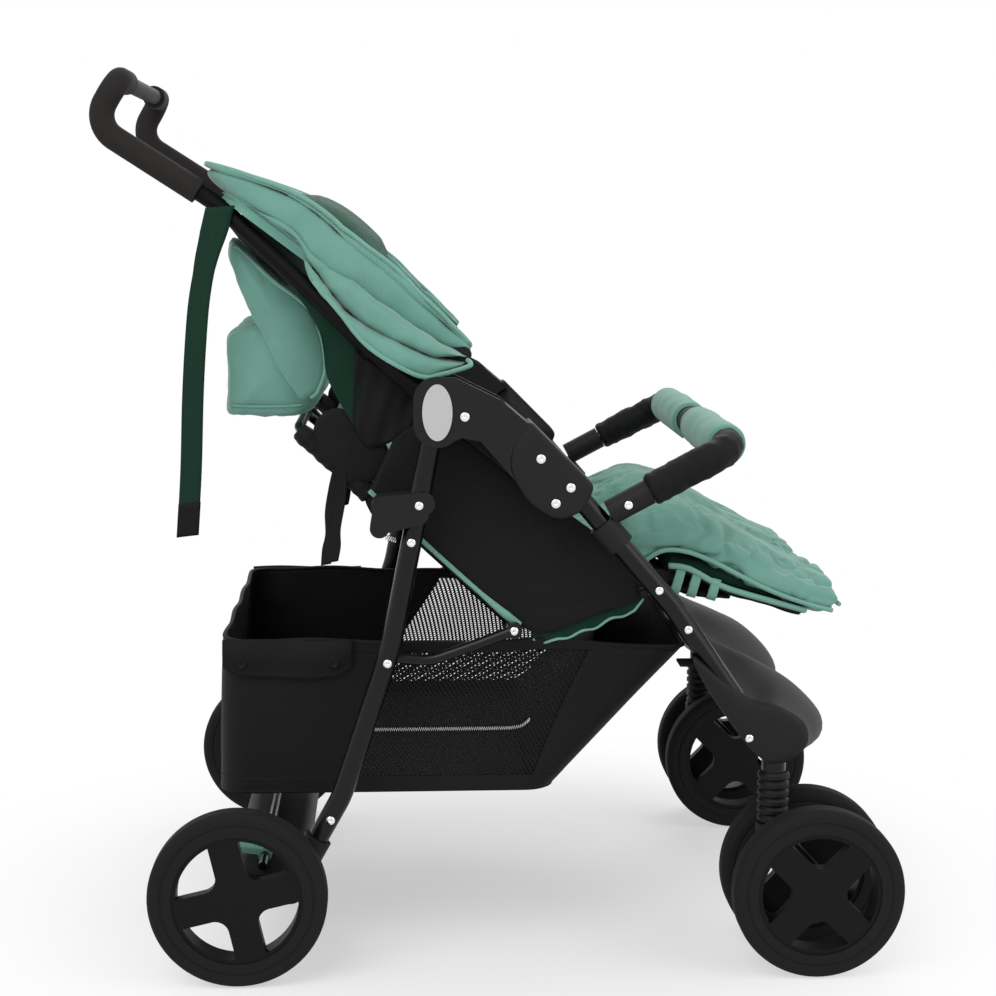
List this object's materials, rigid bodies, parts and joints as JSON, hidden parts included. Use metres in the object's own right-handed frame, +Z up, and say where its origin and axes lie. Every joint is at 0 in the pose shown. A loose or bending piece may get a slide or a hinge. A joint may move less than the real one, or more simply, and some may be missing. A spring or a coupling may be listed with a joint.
{
  "type": "twin pram",
  "caption": "Side-by-side folding twin pram with sage green padded seats, a folding hood, a padded bumper bar, swivel front wheels and a basket.",
  "frame": {"origin": "on the floor, at the centre of the pram's outline in plan", "axes": "+X points forward, +Y to the left side, +Z up"},
  "size_m": [0.9358, 0.726, 1.047],
  "materials": {
    "black_tube": "gloss",
    "dark_plastic": "matte",
    "foam_tyre": "matte",
    "bellows_rubber": "matte",
    "foam_grip": "matte",
    "silver": "satin",
    "green_fabric": "matte",
    "dark_green_fabric": "matte",
    "black_fabric": "matte",
    "green_plastic": "satin"
  },
  "bodies": {
    "frame": {"hinge_cover_right": "dark_plastic", "hinge_cover_left": "dark_plastic", "leg_knuckle_right": "dark_plastic", "leg_knuckle_left": "dark_plastic", "oval_badges": "silver", "hinge_pins": "silver", "front_leg_right": "black_tube", "front_leg_left": "black_tube", "front_step": "dark_plastic", "boot_right": "bellows_rubber", "boot_left": "bellows_rubber", "seat_front_tube": "black_tube", "seat_rear_tube": "black_tube", "seat_rails": "black_tube", "seat_board_right": "black_fabric", "seat_board_left": "black_fabric", "seat_right": "green_fabric", "seat_left": "green_fabric", "side_panel_right": "black_fabric", "side_panel_left": "black_fabric", "basket": "black_fabric", "bumper_sockets": "dark_plastic"},
    "push_frame": {"handle_tube": "black_tube", "grip_right": "foam_grip", "grip_left": "foam_grip", "hood_brackets": "dark_plastic", "hood_rear": "green_fabric", "back_curtain": "green_fabric", "hand_strap": "dark_green_fabric"},
    "hood": {"hood_front": "green_fabric"},
    "bumper": {"bumper_tube": "black_tube", "bumper_pads": "black_fabric", "bumper_sleeves": "green_fabric"},
    "rear_frame": {"rear_leg_right": "black_tube", "rear_leg_left": "black_tube", "rear_axle_beam": "dark_plastic", "rear_axles": "silver", "latch_brackets": "dark_plastic", "latch_springs": "silver"},
    "links": {"link_bars": "black_tube"},
    "brake": {"brake_bar": "black_tube", "brake_pedals": "green_plastic"},
    "back_right": {"back_tube_right": "black_tube", "backrest_right": "green_fabric"},
    "leg_rest_right": {"legrest_board_right": "black_fabric", "legrest_right": "green_fabric"},
    "caster_right": {"caster_fork_right": "dark_plastic"},
    "caster_wheels_right": {"caster_hubs_right": "dark_plastic", "caster_tyres_right": "foam_tyre"},
    "rear_wheel_right": {"rear_hub_right": "dark_plastic", "rear_tyre_right": "foam_tyre"},
    "back_left": {"back_tube_left": "black_tube", "backrest_left": "green_fabric"},
    "leg_rest_left": {"legrest_board_left": "black_fabric", "legrest_left": "green_fabric"},
    "caster_left": {"caster_fork_left": "dark_plastic"},
    "caster_wheels_left": {"caster_hubs_left": "dark_plastic", "caster_tyres_left": "foam_tyre"},
    "rear_wheel_left": {"rear_hub_left": "dark_plastic", "rear_tyre_left": "foam_tyre"}
  },
  "joints": [
    {"name": "push_fold", "type": "hinge", "parent": "frame", "child": "push_frame", "pos_m": [-0.071, 0, 0.657], "axis": [0, 1, 0], "range_deg": [0, 120]},
    {"name": "rear_fold", "type": "hinge", "parent": "frame", "child": "rear_frame", "pos_m": [-0.071, 0, 0.657], "axis": [0, -1, 0], "range_deg": [0, 35]},
    {"name": "link_fold", "type": "hinge", "parent": "rear_frame", "child": "links", "pos_m": [-0.129, 0, 0.368], "axis": [0, -1, 0], "range_deg": [0, 63]},
    {"name": "hood_open", "type": "hinge", "parent": "push_frame", "child": "hood", "pos_m": [-0.039, 0, 0.718], "axis": [0, -1, 0], "range_deg": [-78, 0]},
    {"name": "recline_right", "type": "hinge", "parent": "frame", "child": "back_right", "pos_m": [0.018, 0, 0.398], "axis": [0, 1, 0], "range_deg": [-25, 12]},
    {"name": "leg_rest_tilt_right", "type": "hinge", "parent": "frame", "child": "leg_rest_right", "pos_m": [0.1838, 0, 0.449], "axis": [0, 1, 0], "range_deg": [0, 16]},
    {"name": "swivel_right", "type": "hinge", "parent": "frame", "child": "caster_right", "pos_m": [0.322, -0.3, 0.17], "axis": [0, 0, 1], "continuous": true},
    {"name": "caster_spin_right", "type": "hinge", "parent": "caster_right", "child": "caster_wheels_right", "pos_m": [0.368, -0.3, 0.1], "axis": [0, 1, 0], "continuous": true},
    {"name": "rear_spin_right", "type": "hinge", "parent": "rear_frame", "child": "rear_wheel_right", "pos_m": [-0.302, -0.345, 0.103], "axis": [0, 1, 0], "continuous": true},
    {"name": "recline_left", "type": "hinge", "parent": "frame", "child": "back_left", "pos_m": [0.018, 0, 0.398], "axis": [0, 1, 0], "range_deg": [-25, 12]},
    {"name": "leg_rest_tilt_left", "type": "hinge", "parent": "frame", "child": "leg_rest_left", "pos_m": [0.1838, 0, 0.449], "axis": [0, 1, 0], "range_deg": [0, 16]},
    {"name": "swivel_left", "type": "hinge", "parent": "frame", "child": "caster_left", "pos_m": [0.322, 0.3, 0.17], "axis": [0, 0, 1], "continuous": true},
    {"name": "caster_spin_left", "type": "hinge", "parent": "caster_left", "child": "caster_wheels_left", "pos_m": [0.368, 0.3, 0.1], "axis": [0, 1, 0], "continuous": true},
    {"name": "rear_spin_left", "type": "hinge", "parent": "rear_frame", "child": "rear_wheel_left", "pos_m": [-0.302, 0.345, 0.103], "axis": [0, 1, 0], "continuous": true},
    {"name": "bumper_slide", "type": "slide", "parent": "frame", "child": "bumper", "axis": [-0.8838, 0, -0.4679], "range_m": [-0.05, 0]},
    {"name": "brake_press", "type": "hinge", "parent": "rear_frame", "child": "brake", "pos_m": [-0.275, 0, 0.131], "axis": [0, -1, 0], "range_deg": [0, 15]}
  ],
  "couplings": [
    {"joint": "rear_fold", "follows": "push_fold", "ratio": 0.29167},
    {"joint": "link_fold", "follows": "push_fold", "ratio": 0.525}
  ]
}
